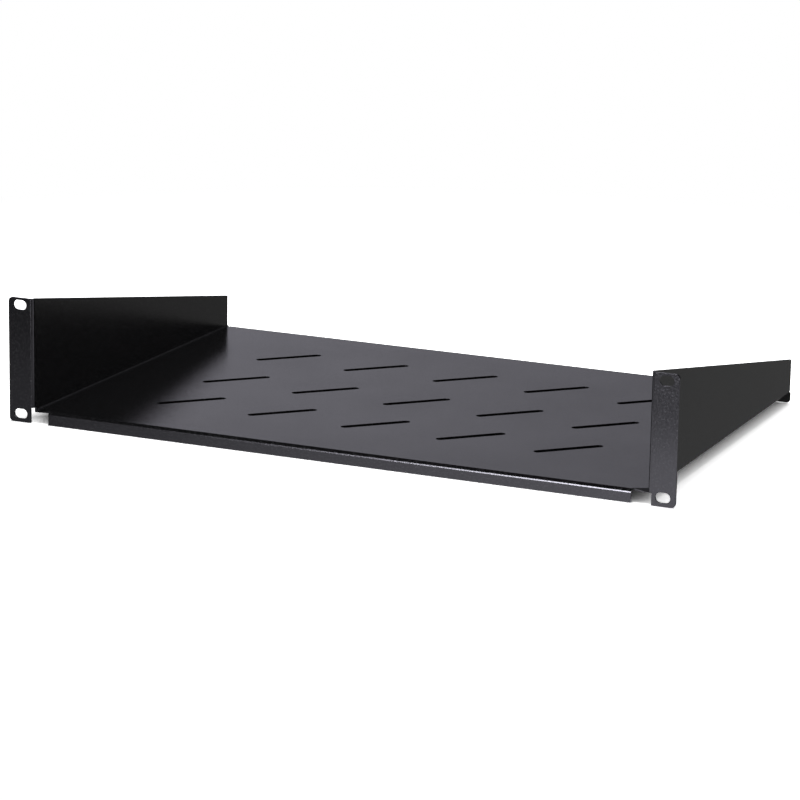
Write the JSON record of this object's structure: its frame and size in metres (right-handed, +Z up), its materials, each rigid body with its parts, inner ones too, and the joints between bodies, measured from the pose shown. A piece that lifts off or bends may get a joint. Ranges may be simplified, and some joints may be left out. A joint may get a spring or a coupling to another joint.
{
  "type": "rack shelf",
  "caption": "Vented cantilever rack shelf folded from sheet steel, with tapered side walls, a front lip, a rear flange and slotted rack ears.",
  "frame": {"origin": "centre of the rack slot pattern, on the plane where the backs of the ears meet the rack rails", "axes": "+X to the right seen from the front of the rack, +Y back into the rack, +Z up"},
  "size_m": [0.4826, 0.297, 0.087],
  "materials": {
    "powder_coat": "fine satin black powder coat"
  },
  "bodies": {
    "root": {"shelf": "powder_coat"}
  },
  "joints": []
}
